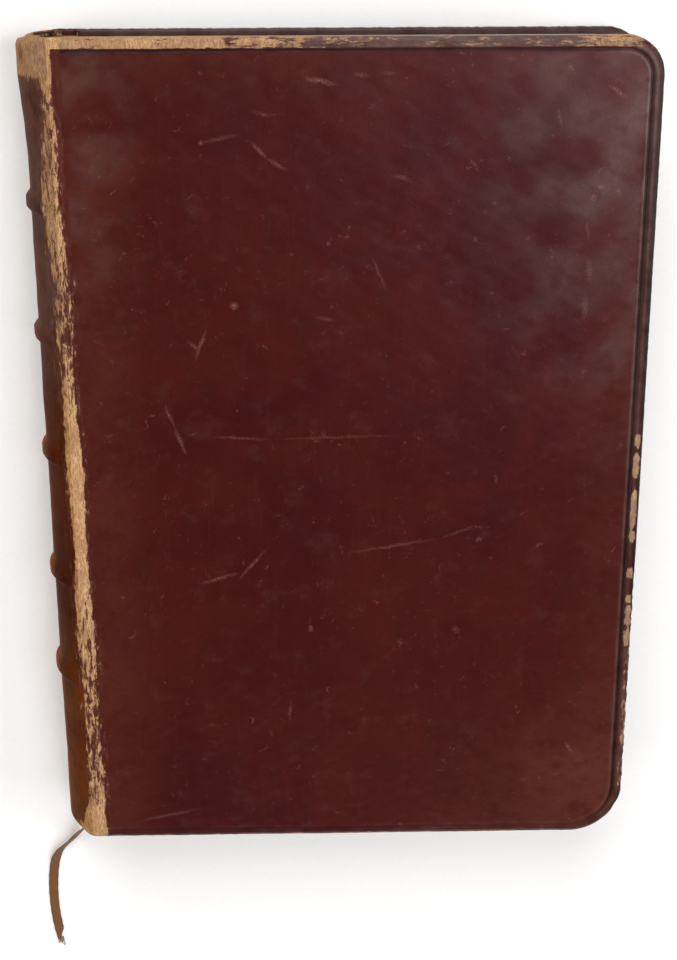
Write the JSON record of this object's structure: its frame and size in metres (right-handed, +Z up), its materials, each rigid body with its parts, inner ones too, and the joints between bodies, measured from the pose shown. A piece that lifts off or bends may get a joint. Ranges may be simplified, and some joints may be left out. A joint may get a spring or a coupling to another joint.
{
  "type": "prayer book",
  "caption": "Leather-bound prayer book with boards hinged at the joints, raised bands on a rounded tight back, sewn sections, endbands and a ribbon marker.",
  "frame": {"origin": "centre of the book's footprint, on the surface the back cover lies on, taken without the ribbon marker", "axes": "+X towards the fore-edge, +Y towards the head, +Z up from the back cover to the front cover"},
  "size_m": [0.1921, 0.3128, 0.0355],
  "materials": {
    "cover_leather": "polished and worn goatskin, dark oxblood",
    "spine_leather": "worn goatskin, rubbed to tan at the joints and caps",
    "board": "grey-brown millboard",
    "endpaper": "plain laid paper, yellowed",
    "page_paper": "thin uncoated paper, dusty dark edges",
    "lining": "open cotton mull and paper, glued",
    "cord": "twisted hemp",
    "thread": "waxed linen",
    "silk": "wound silk, faded gold",
    "ribbon": "woven silk ribbon, golden brown"
  },
  "bodies": {
    "text_block": {"section_01": "page_paper", "section_02": "page_paper", "section_03": "page_paper", "section_04": "page_paper", "section_05": "page_paper", "section_06": "page_paper", "section_07": "page_paper", "section_08": "page_paper", "section_09": "page_paper", "section_10": "page_paper", "section_11": "page_paper", "section_12": "page_paper", "section_13": "page_paper", "section_14": "page_paper", "section_15": "page_paper", "section_16": "page_paper", "spine_lining": "lining", "raised_cord_1": "cord", "raised_cord_2": "cord", "raised_cord_3": "cord", "raised_cord_4": "cord", "raised_cord_5": "cord", "sewing_thread": "thread", "head_endband": "silk", "tail_endband": "silk", "spine_leather": "spine_leather", "front_joint_leather": "spine_leather", "back_joint_leather": "spine_leather", "ribbon_in_block": "ribbon", "ribbon_marker": "ribbon"},
    "front_cover": {"front_cover_leather": "cover_leather", "front_board": "board", "front_cord_slips": "cord", "front_pastedown": "endpaper"},
    "front_flyleaf": {"front_flyleaf": "endpaper"},
    "title_leaf": {"title_leaf": "page_paper"},
    "back_cover": {"back_cover_leather": "cover_leather", "back_board": "board", "back_cord_slips": "cord", "back_pastedown": "endpaper"},
    "back_flyleaf": {"back_flyleaf": "endpaper"}
  },
  "joints": [
    {"name": "front_cover_hinge", "type": "hinge", "parent": "text_block", "child": "front_cover", "pos_m": [-0.07735, 0, 0.0357], "axis": [0, -1, 0], "range_deg": [0, 180]},
    {"name": "front_flyleaf_turn", "type": "hinge", "parent": "text_block", "child": "front_flyleaf", "pos_m": [-0.07735, 0, 0.0357], "axis": [0, -1, 0], "range_deg": [0, 176]},
    {"name": "title_leaf_turn", "type": "hinge", "parent": "text_block", "child": "title_leaf", "pos_m": [-0.07735, 0, 0.0357], "axis": [0, -1, 0], "range_deg": [0, 172]},
    {"name": "back_cover_hinge", "type": "hinge", "parent": "text_block", "child": "back_cover", "pos_m": [-0.07735, 0, -0.0002], "axis": [0, 1, 0], "range_deg": [0, 180]},
    {"name": "back_flyleaf_turn", "type": "hinge", "parent": "text_block", "child": "back_flyleaf", "pos_m": [-0.07735, 0, -0.0002], "axis": [0, 1, 0], "range_deg": [0, 176]}
  ],
  "couplings": [
    {"joint": "front_flyleaf_turn", "follows": "front_cover_hinge", "ratio": 0.97},
    {"joint": "title_leaf_turn", "follows": "front_cover_hinge", "ratio": 0.94},
    {"joint": "back_flyleaf_turn", "follows": "back_cover_hinge", "ratio": 0.97}
  ]
}
